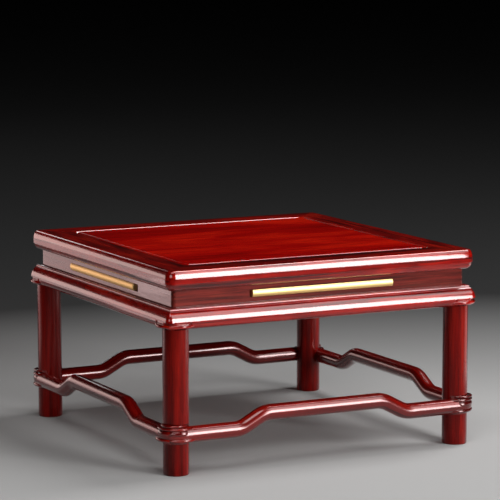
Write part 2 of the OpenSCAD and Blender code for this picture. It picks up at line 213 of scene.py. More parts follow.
# %% Sides
QUARTER_TURNS = {"right": 0, "back": 1, "left": 2, "front": 3}
BOARD_STEP = np.array((61, 17, 29))
MIRROR_Y = np.array((1, -1, 1))


def turned(points, side):
    """Points turned about Z by the side's quarter turns: each maps (x, y) to (-y, x)."""
    x, y, z = points[..., 0], points[..., 1], points[..., 2]
    places = [(x, y), (-y, x), (-x, -y), (y, -x)]
    px, py = places[QUARTER_TURNS[side]]
    return np.stack([px, py, z], axis=-1)


def board_place(points, board):
    """Where points of a right-hand piece lie in its board: along Y, then across, then up.
    Each board is one step further through the grain than the board before, so that no two look alike."""
    return points[..., (1, 0, 2)] + BOARD_STEP * board


print("sides:", list(QUARTER_TURNS))

# %% Rails with mitred ends
MITRE_GAP = 0.03
MITRE_RUN = 1.2
MITRE_POINTS = 9


def mitred_grid(outline, face, corner_r, runs, inner=0.0, inner_r=0.0):
    """Carries an outline of (distance out n, height z) along the right-hand side, from mitre to mitre.
    Points with n beyond face - corner_r turn the corner on an arc of 45 degrees about that place, and
    points up to inner turn it about inner - inner_r, so that an opening has round corners too. The others
    run straight to the mitre, where y = n. runs are the straight places, as shares of the half length."""
    n, z = outline[:, 0], outline[:, 1]
    outer = n > face - corner_r
    opening = n < inner
    turns = outer | opening
    centre = np.where(outer, face - corner_r, np.where(opening, inner - inner_r, n - MITRE_RUN))
    share = np.linspace(0, 1, MITRE_POINTS)[1:, None]
    angle = share * math.pi / 4
    straight = runs[:, None] * centre
    y_end = np.where(turns, centre + (n - centre) * np.sin(angle), n - MITRE_RUN + MITRE_RUN * share)
    x_end = np.where(turns, centre + (n - centre) * np.cos(angle), n)
    y = np.concatenate([straight, y_end - MITRE_GAP * share])
    x = np.concatenate([np.broadcast_to(n, straight.shape), x_end])
    half = np.stack([x, y, np.broadcast_to(z, x.shape)], axis=-1)
    return np.concatenate([half[:0:-1] * MIRROR_Y, half])


print("gap left at each mitre:", MITRE_GAP, "mm a side")

# %% [markdown]
# Lacquered rosewood
#
# The wood is a deep red rosewood: long streaks of dark and orange-red, fine dark pores along the
# grain, and a glossy lacquer on top. A picture of wood could be wrapped round the pieces, but noise
# that reads each point's place in its board runs along every rail, leg and bend. Roughness and bump
# vary a little, as in hand-rubbed lacquer. The frame, the panel, the browner waist, the legs and the
# stretchers are five finishes of one wood.

# %% Noise, ramps, mixes and bumps


def add_node(tree, kind, **settings):
    """A new shader node with its properties set."""
    made = tree.nodes.new(kind)
    for key, value in settings.items():
        setattr(made, key, value)
    return made


def stretched_noise(tree, place, cells, detail, roughness, distortion=0.0):
    """Noise with that many cells per millimetre along, across and up the board."""
    mapping = add_node(tree, "ShaderNodeMapping")
    mapping.inputs["Scale"].default_value = cells
    noise = add_node(tree, "ShaderNodeTexNoise")
    noise.inputs["Scale"].default_value = 1.0
    noise.inputs["Detail"].default_value = detail
    noise.inputs["Roughness"].default_value = roughness
    noise.inputs["Distortion"].default_value = distortion
    tree.links.new(place.outputs["Vector"], mapping.inputs["Vector"])
    tree.links.new(mapping.outputs["Vector"], noise.inputs["Vector"])
    return noise.outputs["Fac"]


def ramp(tree, source, stops):
    """A colour ramp over a source value; stops are pairs of position and linear colour."""
    made = add_node(tree, "ShaderNodeValToRGB")
    line = made.color_ramp
    while len(line.elements) < len(stops):
        line.elements.new(0.5)
    for element, (position, colour) in zip(line.elements, stops):
        element.position = position
        element.color = (*colour, 1)
    tree.links.new(source, made.inputs["Fac"])
    return made.outputs["Color"]


def mixed(tree, kind, factor, a, b):
    """Two colours mixed by a factor: b laid over a, or b multiplied into a."""
    made = add_node(tree, "ShaderNodeMix", data_type="RGBA", blend_type=kind)
    made.inputs["Factor"].default_value = factor
    tree.links.new(a, made.inputs["A"])
    tree.links.new(b, made.inputs["B"])
    return made.outputs["Result"]


def bump(tree, height, strength, depth):
    """A bump that tilts the surface by the slope of a height; depth is the full height in metres."""
    made = add_node(tree, "ShaderNodeBump")
    made.inputs["Strength"].default_value = strength
    made.inputs["Distance"].default_value = depth
    tree.links.new(height, made.inputs["Height"])
    return made


def new_material(name):
    """A material with its tree, its shader and a node that reads each point's place in the board."""
    material = bpy.data.materials.new(name)
    material.use_nodes = True
    tree = material.node_tree
    place = add_node(tree, "ShaderNodeAttribute", attribute_name="grain")
    return material, tree, tree.nodes["Principled BSDF"], place


print("helpers: noise, ramp, mix, bump and material")

# %% Grain of the wood
WHITE = (1, 1, 1)
FIBRE_CELLS = (0.025, 0.9, 0.9)
VEIN_CELLS = (0.014, 0.36, 0.36)
FLECK_CELLS = (0.07, 1.1, 1.1)
PORE_CELLS = (0.14, 5.5, 5.5)
RED_STOPS = (0.38, 0.5, 0.62)
VEIN_STOPS = [(0.36, (0.14, 0.10, 0.12)), (0.48, WHITE)]
FLECK_STOPS = [(0.60, WHITE), (0.72, (1.25, 1.9, 1.5))]
PORE_STOPS = [(0.33, (0.3, 0.25, 0.25)), (0.42, WHITE)]
FLECK_SHARE = 0.8
PORE_SHARE = 0.6


def grain_colour(tree, place, pores, reds, figure, fibres, veins):
    """Colour of bare wood. A blend of broad figure and fine fibres picks one of three reds, dark to bright.
    Veins and pores multiply it by a dark colour, and flecks by an orange one."""
    along, across = figure
    broad = stretched_noise(tree, place, (along, across, across), detail=4, roughness=0.55, distortion=1.0)
    fine = stretched_noise(tree, place, FIBRE_CELLS, detail=5, roughness=0.62)
    red = ramp(tree, mixed(tree, "MIX", fibres, broad, fine), list(zip(RED_STOPS, reds)))
    vein = stretched_noise(tree, place, VEIN_CELLS, detail=4, roughness=0.62, distortion=1.2)
    veined = mixed(tree, "MULTIPLY", veins, red, ramp(tree, vein, VEIN_STOPS))
    fleck = stretched_noise(tree, place, FLECK_CELLS, detail=3, roughness=0.6)
    flecked = mixed(tree, "MULTIPLY", FLECK_SHARE, veined, ramp(tree, fleck, FLECK_STOPS))
    return mixed(tree, "MULTIPLY", PORE_SHARE, flecked, ramp(tree, pores, PORE_STOPS))


print("pores: about", round(1 / PORE_CELLS[0], 1), "mm long and", round(1 / PORE_CELLS[1], 1), "mm wide")

# %% Lacquer over the wood
GLOSS_CELLS = (0.05, 0.35, 0.35)
GLOSS_STOPS = [(0.3, (0.18,) * 3), (0.7, (0.32,) * 3)]
RIPPLE_CELLS = (0.07, 0.4, 0.4)
RIPPLE_STRENGTH = 0.5
RIPPLE_DEPTH = 0.00006
PORE_STRENGTH = 0.3
PORE_DEPTH = 0.00003
OIL_TINT = (1.0, 0.07, 0.04, 1)


def rosewood(name, reds, figure, fibres, veins, coat, oil):
    """Lacquered wood: the grain's colour, an uneven gloss, ripples in the coat, and pores that dent the
    wood below. figure is the broad figure's cells per millimetre along and across the grain, fibres is
    the fine fibres' part in the blend and veins the strength of the dark veins. coat is the lacquer's
    weight, roughness and refractive index, and oil is the index of the oiled wood under it."""
    material, tree, shader, place = new_material(name)
    pores = stretched_noise(tree, place, PORE_CELLS, detail=2, roughness=0.5)
    colour = grain_colour(tree, place, pores, reds, figure, fibres, veins)
    tree.links.new(colour, shader.inputs["Base Color"])
    gloss = stretched_noise(tree, place, GLOSS_CELLS, detail=3, roughness=0.6)
    tree.links.new(ramp(tree, gloss, GLOSS_STOPS), shader.inputs["Roughness"])
    ripple = stretched_noise(tree, place, RIPPLE_CELLS, detail=2, roughness=0.5)
    ripples = bump(tree, ripple, RIPPLE_STRENGTH, RIPPLE_DEPTH)
    dents = bump(tree, pores, PORE_STRENGTH, PORE_DEPTH)
    tree.links.new(ripples.outputs["Normal"], dents.inputs["Normal"])
    tree.links.new(dents.outputs["Normal"], shader.inputs["Normal"])
    tree.links.new(ripples.outputs["Normal"], shader.inputs["Coat Normal"])
    shader.inputs["IOR"].default_value = oil
    shader.inputs["Specular Tint"].default_value = OIL_TINT
    shader.inputs["Coat Weight"].default_value = coat[0]
    shader.inputs["Coat Roughness"].default_value = coat[1]
    shader.inputs["Coat IOR"].default_value = coat[2]
    return material


print("ripples in the lacquer:", round(RIPPLE_DEPTH / MM, 3), "mm")

# %% Five finishes of the wood
FRAME_REDS = ((0.108, 0.0011, 0.0006), (0.259, 0.0024, 0.0011), (0.410, 0.0108, 0.0030))
PANEL_REDS = ((0.168, 0.0008, 0.0004), (0.284, 0.0014, 0.0007), (0.433, 0.0085, 0.0020))
WAIST_REDS = ((0.060, 0.0080, 0.0060), (0.135, 0.0140, 0.0100), (0.220, 0.022, 0.0140))
LEG_REDS = ((0.050, 0.0008, 0.0005), (0.130, 0.0014, 0.0008), (0.230, 0.0050, 0.0018))
FULL_GLOSS = (1.0, 0.09, 1.6)
RUBBED_GLOSS = (0.3, 0.07, 1.6)
SOFT_GLOSS = (1.0, 0.15, 1.24)
HAND_GLOSS = (1.0, 0.17, 1.6)
OILED = 1.4
BARELY_OILED = 1.07
frame_wood = rosewood("frame_rosewood", FRAME_REDS, figure=(0.032, 0.16), fibres=0.40, veins=0.85,
                      coat=FULL_GLOSS, oil=OILED)
waist_wood = rosewood("waist_rosewood", WAIST_REDS, figure=(0.014, 0.30), fibres=0.5, veins=0.6,
                      coat=FULL_GLOSS, oil=OILED)
panel_wood = rosewood("panel_rosewood", PANEL_REDS, figure=(0.012, 0.05), fibres=0.28, veins=0.3,
                      coat=RUBBED_GLOSS, oil=BARELY_OILED)
leg_wood = rosewood("leg_rosewood", LEG_REDS, figure=(0.008, 0.14), fibres=0.25, veins=0.5,
                    coat=SOFT_GLOSS, oil=OILED)
stretcher_wood = rosewood("stretcher_rosewood", LEG_REDS, figure=(0.008, 0.14), fibres=0.25, veins=0.5,
                          coat=HAND_GLOSS, oil=OILED)
print("woods:", frame_wood.name, waist_wood.name, panel_wood.name, leg_wood.name, stretcher_wood.name)

# %% [markdown]
# Satin brass
#
# The strips are pale yellow metal, rubbed along their length to a satin finish. An anisotropic
# shader could show that, but fine lines of noise, stretched along the strip, stay where they are
# in every view. They change the colour, the roughness and the bump a little.

# %% Brass material
LINE_CELLS = (0.05, 6, 6)
BRASS_STOPS = [(0.3, (0.93, 0.64, 0.24)), (0.7, (1.0, 0.76, 0.35))]
SATIN_STOPS = [(0.3, (0.40,) * 3), (0.7, (0.54,) * 3)]
LINE_STRENGTH = 0.3
LINE_DEPTH = 0.00002


def satin_brass(name):
    """Drawn metal: yellow with faint long lines in its colour, roughness and bump."""
    material, tree, shader, place = new_material(name)
    lines = stretched_noise(tree, place, LINE_CELLS, detail=4, roughness=0.6)
    tree.links.new(ramp(tree, lines, BRASS_STOPS), shader.inputs["Base Color"])
    tree.links.new(ramp(tree, lines, SATIN_STOPS), shader.inputs["Roughness"])
    drawn = bump(tree, lines, LINE_STRENGTH, LINE_DEPTH)
    tree.links.new(drawn.outputs["Normal"], shader.inputs["Normal"])
    shader.inputs["Metallic"].default_value = 1.0
    return material


brass = satin_brass("drawn_brass")
print("metal:", brass.name)

# %% [markdown]
# Top frame
#
# Four rails are mitred round the panel. Below a fine arris the edge leans out in a wide curve to an
# upright band, steps in a little and tucks under in an ovolo. A bevelled box has no such edge, so the
# outline is drawn with arcs and carried from mitre to mitre. It turns the corners of the frame and of
# its opening on small radii.

# %% Outline of a frame rail
EDGE_R = 1.25
LEAN_DEGREES = 25
LEAN_R = 5.4
STEP = 0.3
STEP_EASE = 0.1
OVOLO_R = 2.4
INNER_BEVEL = 1.0
BEVEL_FOOT = [(0, -0.04), (0.03, 0.03)]
BEVEL_HEAD = [(-0.12, -0.12), (-0.01, -0.03), (0.12, 0)]
UNDER_EASE = 0.2
GLUE = 0.05
WAIST_T = 3.0
SEAT = 1.2
lean = math.radians(LEAN_DEGREES)
arris_x = FRAME_FACE - LEAN_R + (LEAN_R - EDGE_R) * math.cos(lean)
arris_z = TOP - EDGE_R
lean_z = arris_z - (LEAN_R - EDGE_R) * math.sin(lean)
step_z = FRAME_Z + OVOLO_R
waist_out = WAIST_FACE + GLUE
waist_in = WAIST_FACE - WAIST_T - GLUE
groove_z = FRAME_Z + SEAT + GLUE
frame_outline = np.concatenate([
    [(FRAME_IN, FRAME_Z + UNDER_EASE)],
    np.add((FRAME_IN, TOP - INNER_BEVEL), BEVEL_FOOT),
    np.add((FRAME_IN + INNER_BEVEL, TOP), BEVEL_HEAD),
    arc(arris_x, arris_z, EDGE_R, 90, LEAN_DEGREES, 13),
    arc(FRAME_FACE - LEAN_R, lean_z, LEAN_R, LEAN_DEGREES - 1, 0, 13),
    [(FRAME_FACE, step_z + STEP_EASE), (FRAME_FACE - STEP_EASE, step_z), (FRAME_FACE - STEP, step_z)],
    arc(FRAME_FACE - STEP - OVOLO_R, step_z, OVOLO_R, -3, -87, 17),
    [(waist_out, FRAME_Z), (waist_out, groove_z), (waist_in, groove_z), (waist_in, FRAME_Z)],
    [(FRAME_IN + UNDER_EASE, FRAME_Z)]])
print("frame outline:", len(frame_outline), "points")

# %% Frame rails
FRAME_CORNER_R = 2.9
OPENING_R = 1.2
PAST_BEVEL = 0.15
FRAME_BOARD = 1
opening_edge = FRAME_IN + INNER_BEVEL + PAST_BEVEL
rail = mitred_grid(frame_outline, FRAME_FACE, FRAME_CORNER_R, np.linspace(0, 1, 25),
                   opening_edge, OPENING_R + INNER_BEVEL)
for side, turns in QUARTER_TURNS.items():
    piece("frame_rail_" + side, [(turned(rail, side), board_place(rail, FRAME_BOARD + turns))],
          frame_wood, "top_rail_" + side)

# %% [markdown]
# Panel
#
# The panel is one board with its grain from left to right, and a fine V-groove round it. A bevelled
# cube would have sharp corners in the groove. The panel is a stack of rounded square rings instead:
# the underside, the edge, a bevel that makes half of the groove, and the flat top.

# %% Panel
SWELL_GAP = 0.2
PANEL_HALF = FRAME_IN - SWELL_GAP
PANEL_Z = reach("top_panel", Z, LOW)
PANEL_EASE = 0.3
PANEL_BEVEL = 0.5
GROOVE_FOOT = [(-0.05, 0), (0.03, -0.06)]
GROOVE_HEAD = [(-0.06, 0.04), (0, -0.1)]
PANEL_RIM = 0.9
PANEL_BOARD = (400, 0, 0)


def rounded_square(half, centre, corner=19, straight=12):
    """Points round a square of that half side. Its corners are quarter circles about (centre, centre)
    and the three mirror places, of radius half - centre. straight counts the points of a side, and corner
    those of a quarter circle, whose two ends belong to the sides."""
    angle = np.linspace(0, math.pi / 2, corner)[1:-1]
    r = half - centre
    edge = np.column_stack([np.full(straight, half), np.linspace(-centre, centre, straight)])
    turn = np.column_stack([centre + r * np.cos(angle), centre + r * np.sin(angle)])
    x, y = np.concatenate([edge, turn]).T
    return np.concatenate([np.column_stack(p) for p in ((x, y), (-y, x), (-x, -y), (y, -x))])


panel_centre = PANEL_HALF - OPENING_R
levels = np.concatenate([
    [(PANEL_Z, PANEL_HALF - PANEL_EASE), (PANEL_Z + PANEL_EASE, PANEL_HALF)],
    np.add((TOP - PANEL_BEVEL, PANEL_HALF), GROOVE_FOOT),
    np.add((TOP, PANEL_HALF - PANEL_BEVEL), GROOVE_HEAD),
    [(TOP, PANEL_HALF - PANEL_RIM)]])
panel = np.stack([np.insert(rounded_square(half, panel_centre), 2, z, axis=1) for z, half in levels])
piece("panel", [(panel, panel + PANEL_BOARD)], panel_wood, "top_panel")

# %% [markdown]
# Batten
#
# A batten under the panel keeps it flat. It is only seen from below, so it is a plain bar with eased
# edges: one outline, set at a few places along its length.

# %% Batten
BATTEN_HALF_W = reach("panel_batten", X, HIGH)
BATTEN_Z = reach("panel_batten", Z, LOW)
BATTEN_EASES = (0.4, 0.4, 0.05, 0.05)
BATTEN_STATIONS = 9
BATTEN_BOARD = 9
batten_corners = [(-BATTEN_HALF_W, BATTEN_Z), (BATTEN_HALF_W, BATTEN_Z),
                  (BATTEN_HALF_W, PANEL_Z), (-BATTEN_HALF_W, PANEL_Z)]
batten_x, batten_z = rounded_outline(batten_corners, BATTEN_EASES).T
lengths = np.linspace(-FRAME_IN, FRAME_IN, BATTEN_STATIONS)[:, None]
batten = np.stack(np.broadcast_arrays(batten_x, lengths, batten_z), axis=-1)
piece("batten", [(batten, board_place(batten, BATTEN_BOARD))], frame_wood, "panel_batten")

# %% [markdown]
# Waist and strips
#
# Each waist board has a routed slot with small round corners, cut deep enough to hold a strip. A
# boolean could cut it, but here the board's front is pushed in wherever a point lies inside the slot's
# outline, which keeps one clean grid. The strip is a bar with a domed front. It lies a little off the
# middle, so that the end of the slot shows as a dark pocket.

# %% Outline of a waist board
STRIP_Z = halfway("strip_right", Z)
STRIP_H = span("strip_right", Z)
STRIP_L = span("strip_right", Y)
WAIST_LOW = reach("waist_right", Z, LOW)
WAIST_HIGH = reach("waist_right", Z, HIGH)
SLOT_UP = STRIP_H / 2 + GLUE
WALL_BAND = 0.14
FLOOR_CLEAR = 0.2
FRONT_CLEAR = 0.25
FRONT_UP = 2.7
wall = np.linspace(-WALL_BAND, WALL_BAND, 13)
slot_floor = np.linspace(-SLOT_UP + FLOOR_CLEAR, SLOT_UP - FLOOR_CLEAR, 15)
above_slot = np.linspace(SLOT_UP + FRONT_CLEAR, FRONT_UP, 5)
below_slot = -above_slot[::-1]
front_z = STRIP_Z + np.concatenate([below_slot, wall - SLOT_UP, slot_floor, wall + SLOT_UP, above_slot])
waist_back = WAIST_FACE - WAIST_T
waist_outline = np.concatenate([
    [(waist_back, WAIST_HIGH), (waist_back, WAIST_LOW), (WAIST_FACE, WAIST_LOW)],
    np.column_stack([np.full(len(front_z), WAIST_FACE), front_z]),
    [(WAIST_FACE, WAIST_HIGH)]])
print("waist outline:", len(waist_outline), "points")

# %% Waist boards
SLOT_SPARE = {"right": 1.7, "back": 0.6, "left": 1.7, "front": 0.6}
SLOT_CORNER_R = 0.5
SLOT_DEPTH = 1.2
WALL_LEAN = 0.1
FRONT_SKIN = 0.5
COARSE_TO = 1.2
CLOSE_FROM = 0.9
CLOSE_TO = 0.2
COARSE_FROM = 1.0
WAIST_CORNER_R = 1.4
WAIST_BOARD = 11
waist_half = WAIST_FACE - WAIST_CORNER_R


def slotted_waist(slot_half):
    """Waist board with its slot, with close stations round the slot's end. A point of the front lies past
    a corner's centre by (a, b), both at least 0, and inside the slot where the length of (a, b) is less
    than the corner's radius; there it is pushed in."""
    stations = np.concatenate([np.linspace(0, slot_half - COARSE_TO, 8),
                               np.linspace(slot_half - CLOSE_FROM, slot_half + CLOSE_TO, 36),
                               np.linspace(slot_half + COARSE_FROM, waist_half, 12)])
    board = mitred_grid(waist_outline, WAIST_FACE, WAIST_CORNER_R, stations / waist_half)
    past_end = np.clip(np.abs(board[..., 1]) - (slot_half - SLOT_CORNER_R), 0, None)
    past_side = np.clip(np.abs(board[..., 2] - STRIP_Z) - (SLOT_UP - SLOT_CORNER_R), 0, None)
    depth_in = SLOT_CORNER_R + WALL_LEAN / 2 - np.hypot(past_end, past_side)
    inside = np.clip(depth_in / WALL_LEAN, 0, 1)
    board[..., 0] -= np.where(board[..., 0] > WAIST_FACE - FRONT_SKIN, SLOT_DEPTH * inside, 0)
    return board


for side, turns in QUARTER_TURNS.items():
    waist = slotted_waist(STRIP_L / 2 + SLOT_SPARE[side])
    piece("waist_board_" + side, [(turned(waist, side), board_place(waist, WAIST_BOARD + turns))],
          waist_wood, "waist_" + side)

# %% Section of a strip
STRIP_FRONT = reach("strip_right", X, HIGH)
STRIP_BED = 0.06
STRIP_BACK = WAIST_FACE - SLOT_DEPTH + STRIP_BED
DOME_R = 2.0
STRIP_EDGE_R = 0.1
STRIP_END_R = 0.18
STRIP_PLAIN = 9
END_CLEAR = 2
edge_up = STRIP_H / 2 - STRIP_EDGE_R
dome_edge = math.degrees(math.asin(edge_up / DOME_R))
edge_x = STRIP_FRONT - DOME_R + DOME_R * math.cos(math.radians(dome_edge)) - STRIP_EDGE_R
strip_outline = np.concatenate([
    arc(STRIP_FRONT - DOME_R, STRIP_Z, DOME_R, -dome_edge, dome_edge, 21),
    arc(edge_x, STRIP_Z + edge_up, STRIP_EDGE_R, 30, 90, 4),
    [(STRIP_BACK, STRIP_Z + STRIP_H / 2), (STRIP_BACK, STRIP_Z - STRIP_H / 2)],
    arc(edge_x, STRIP_Z - edge_up, STRIP_EDGE_R, -90, -30, 4)])
ease = np.radians(np.linspace(0, 90, 6))
end_y = STRIP_L / 2 - STRIP_END_R * (1 - np.sin(ease))
end_in = STRIP_END_R * (1 - np.cos(ease))
plain_y = np.linspace(-STRIP_L / 2 + END_CLEAR, STRIP_L / 2 - END_CLEAR, STRIP_PLAIN)
strip_y = np.concatenate([-end_y[::-1], plain_y, end_y])
strip_in = np.concatenate([end_in[::-1], np.zeros(STRIP_PLAIN), end_in])
towards = np.array([(STRIP_FRONT + STRIP_BACK) / 2, STRIP_Z]) - strip_outline
towards /= np.linalg.norm(towards, axis=1, keepdims=True)
strip_x, strip_z = np.moveaxis(strip_outline + towards * strip_in[:, None, None], -1, 0)
print("strip:", strip_x.shape[0], "stations of", strip_x.shape[1], "points")

# %% Strips
STRIP_SLIDE = {"right": (Y, 1), "back": (X, -1), "left": (Y, -1), "front": (X, 1)}
STRIP_BOARD = 21
for side, turns in QUARTER_TURNS.items():
    axis, sign = STRIP_SLIDE[side]
    slide = sign * halfway("strip_" + side, axis)
    strip = np.stack(np.broadcast_arrays(strip_x, strip_y[:, None] + slide, strip_z), axis=-1)
    piece("inlaid_strip_" + side, [(turned(strip, side), board_place(strip, STRIP_BOARD + turns))],
          brass, "strip_" + side)

# %% [markdown]
# Apron
#
# The apron is a bullnose moulding with a bead where the waist stands on it. Under each corner a thin
# lip runs round the top of the leg, with a groove above it. The groove is made by pulling in the
# points that lie too far from the leg's axis. The lip is a ring of its own, turned about that axis
# and sunk into the moulding, because the rail's grid has no points to spare for so thin an edge.

# %% Outline of an apron rail
APRON_FACE = LEG_AXIS + 5.6
APRON_IN = APRON_FACE - 10.6
APRON_TOP = APRON_Z + 7.2
APRON_EASE = 0.3
NOSE_R = 4.9
UNDER_R = 2.4
BEAD_R = 0.55
BEAD_OUT = 1
BEAD_DOWN = 0.6
BEAD_FOOT = 0.2
nose_z = APRON_Z + UNDER_R
seat_z = APRON_TOP - SEAT - GLUE
apron_outline = np.concatenate([
    [(APRON_IN, APRON_TOP - APRON_EASE), (APRON_IN, APRON_Z + APRON_EASE), (APRON_IN + APRON_EASE, APRON_Z)],
    arc(APRON_FACE - UNDER_R, nose_z, UNDER_R, -88, -2, 25),
    arc(APRON_FACE - NOSE_R, nose_z, NOSE_R, 0, 54, 29),
    arc(WAIST_FACE + BEAD_OUT, APRON_TOP - BEAD_DOWN, BEAD_R, -22, 160, 17),
    [(waist_out, APRON_TOP - BEAD_FOOT), (waist_out, seat_z), (waist_in, seat_z), (waist_in, APRON_TOP)],
    [(APRON_IN + APRON_EASE, APRON_TOP)]])
print("apron outline:", len(apron_outline), "points")

# %% Groove above the lips
APRON_CORNER_R = 1.9
LIP_R = 6.88
LIP_Z = APRON_Z + 0.65
LIP_T = 1.2
GROOVE_LOW = LIP_Z + 0.2
GROOVE_HIGH = LIP_Z + LIP_T + 0.75
GROOVE_ALONG = 3.6
GROOVE_R = LIP_R - 0.8
NO_LIMIT = 99
TINY = 1e-6
apron_runs = np.concatenate([np.linspace(0, 0.82, 12), np.linspace(0.84, 1, 34)])
apron = mitred_grid(apron_outline, APRON_FACE, APRON_CORNER_R, apron_runs)
off_leg = np.stack([apron[..., 0] - LEG_AXIS, np.abs(apron[..., 1]) - LEG_AXIS], axis=-1)
distance = np.linalg.norm(off_leg, axis=-1)
at_height = (apron[..., 2] > GROOVE_LOW) & (apron[..., 2] < GROOVE_HIGH)
in_groove = at_height & (off_leg[..., 0] > 0) & (off_leg[..., 1] > -GROOVE_ALONG)
pull = np.minimum(1, np.where(in_groove, GROOVE_R, NO_LIMIT) / np.maximum(distance, TINY))
apron[..., 0] = LEG_AXIS + off_leg[..., 0] * pull
apron[..., 1] = np.sign(apron[..., 1]) * (LEG_AXIS + off_leg[..., 1] * pull)
print("points in the groove of one rail:", int(in_groove.sum()))

# %% Apron rails and their lips
MITRE_DEGREES = 44.8
LIP_SUNK = 0.3
LIP_EASES = (0.05, 0.55, 0.55, 0.05)
APRON_BOARD = 31


def leg_ring(outline, start, end, steps, set_out=0.0):
    """An outline of (distance from an axis, height) turned about that axis, in degrees from +X.
    The axis is the back right leg's, set out towards the corner along the mitre."""
    angle = np.radians(np.linspace(start, end, steps))[:, None]
    axis_at = LEG_AXIS + set_out / math.sqrt(2)
    x = axis_at + outline[:, 0] * np.cos(angle)
    y = axis_at + outline[:, 0] * np.sin(angle)
    return np.stack([x, y, np.broadcast_to(outline[:, 1], x.shape)], axis=-1)


lip_in = LEG_R - LIP_SUNK
lip_corners = [(lip_in, LIP_Z), (LIP_R, LIP_Z), (LIP_R, LIP_Z + LIP_T), (lip_in, LIP_Z + LIP_T)]
lip = leg_ring(rounded_outline(lip_corners, LIP_EASES), -60, MITRE_DEGREES, 49)
for side, turns in QUARTER_TURNS.items():
    shells = [(turned(part, side), board_place(part, APRON_BOARD + turns))
              for part in (apron, lip, lip * MIRROR_Y)]
    piece("apron_rail_" + side, shells, frame_wood, "apron_" + side)

# %% [markdown]
# Legs
#
# A leg is a plain round with its foot's edge eased, except where the stretchers wrap it: there its
# two outer sides are cut flat. A cylinder would need cutting, so the leg is a surface of radius r
# over angle and height, where r is the smaller of the round and the flats.

# %% Legs
BAR_Z = 14.0
FLAT = 2.6
WRAP_UP = 3.75
WRAP_DOWN = 3.0
NOTCH_OUT = 0.05
NOTCH_IN = 0.04
FOOT_EASES = {0: 0.3, 0.12: 0.1}
LEG_POINTS = 96
LEG_BOARD = 41
CORNERS = {"right": "back_right", "back": "back_left", "left": "front_left", "front": "front_right"}
notch_low = BAR_Z - WRAP_DOWN
notch_high = BAR_Z + WRAP_UP
heights = np.array([*FOOT_EASES, 0.3, 4, 8, notch_low - NOTCH_OUT, notch_low - NOTCH_IN, BAR_Z,
                    notch_high + NOTCH_IN, notch_high + NOTCH_OUT, 22, 30, 40, APRON_Z])
foot_in = np.zeros(len(heights))
foot_in[:len(FOOT_EASES)] = list(FOOT_EASES.values())
notch_edge = (NOTCH_IN + NOTCH_OUT) / 2
notched = (heights >= notch_low - notch_edge) & (heights <= notch_high + notch_edge)
theta = np.arange(LEG_POINTS) / LEG_POINTS * 2 * math.pi
flats = FLAT / np.maximum(np.maximum(np.cos(theta), np.sin(theta)), TINY)
leg_radius = np.where(notched[:, None], np.minimum(LEG_R, flats), LEG_R) - foot_in[:, None]
leg_x, leg_y = leg_radius * np.cos(theta), leg_radius * np.sin(theta)
leg_z = np.broadcast_to(heights[:, None], leg_radius.shape)
leg = np.stack([LEG_AXIS + leg_x, LEG_AXIS + leg_y, leg_z], axis=-1)
leg_board = np.stack([leg_z, leg_x, leg_y], axis=-1)
for side, turns in QUARTER_TURNS.items():
    piece("round_leg_" + CORNERS[side], [(turned(leg, side), leg_board + BOARD_STEP * (LEG_BOARD + turns))],
          leg_wood, "leg_" + CORNERS[side])

# %% [markdown]
# Stretchers
#
# A stretcher is a round bar that rises over a hump in the middle. At each end it turns round the
# outside of the leg to a mitre, where two beads, the bar's nose and a lip stand above each other.
# A curve with a round bevel could make the bar, but its section has to stop at the leg, so a circle is
# carried along the middle line as an array and cut off there. The mouldings are rings of their own,
# sunk into the bar. The nose and the larger bead run about the leg's axis. The smaller bead runs about
# an axis nearer to the mitre, so that it dies away into the leg, and the lip about one further from it,
# so that it dies away along the bar.

# %% Middle line of a stretcher
BAR_R = 2.75
BAR_OUT = 3.4
HUMP_HALF = 23.3
HUMP_RISE = 4.8
SLOPE = math.radians(28)
BEND_R = 9.5
RUN_FINE = 5
bend_set = BEND_R * math.tan(SLOPE / 2)
low_y = HUMP_HALF + HUMP_RISE / math.tan(SLOPE)


def bar_line():
    """Half of the bar's middle line as along y, height z and tilt: hump, bend, slope, bend, run to the leg.
    A bend of radius R leaves its tangent by R sin(angle) along and R (1 - cos(angle)) across."""
    angle = np.linspace(0, SLOPE, 17)
    back = SLOPE - angle
    hump_y = np.linspace(0, HUMP_HALF - bend_set, 16)[:-1]
    run_y = np.concatenate([np.linspace(low_y + bend_set, LEG_AXIS - RUN_FINE, 14)[1:],
                            np.linspace(LEG_AXIS - RUN_FINE + 0.1, LEG_AXIS, 50)])
    along = np.concatenate([hump_y, HUMP_HALF - bend_set + BEND_R * np.sin(angle),
                            low_y + bend_set - BEND_R * np.sin(back), run_y])
    rise = np.concatenate([np.full(len(hump_y), HUMP_RISE), HUMP_RISE - BEND_R * (1 - np.cos(angle)),
                           BEND_R * (1 - np.cos(back)), np.zeros(len(run_y))])
    tilt = np.concatenate([np.zeros(len(hump_y)), angle, back, np.zeros(len(run_y))])
    return along, BAR_Z + rise, tilt


bar_y, bar_z, bar_tilt = bar_line()
wrap = np.radians(np.linspace(0, MITRE_DEGREES, 33))[1:]
zero = np.zeros(len(bar_y))
around = np.column_stack([np.cos(wrap), np.sin(wrap), np.zeros(len(wrap))])
middle = np.concatenate([np.column_stack([zero + LEG_AXIS + BAR_OUT, bar_y, bar_z]),
                         (LEG_AXIS, LEG_AXIS, BAR_Z) + BAR_OUT * around])
outward = np.concatenate([np.column_stack([zero + 1, zero, zero]), around])
upward = np.concatenate([np.column_stack([zero, np.sin(bar_tilt), np.cos(bar_tilt)]),
                         np.tile((0.0, 0.0, 1.0), (len(wrap), 1))])
print("stretcher stations:", len(middle))

# %% Bar of a stretcher
BAR_POINTS = 64


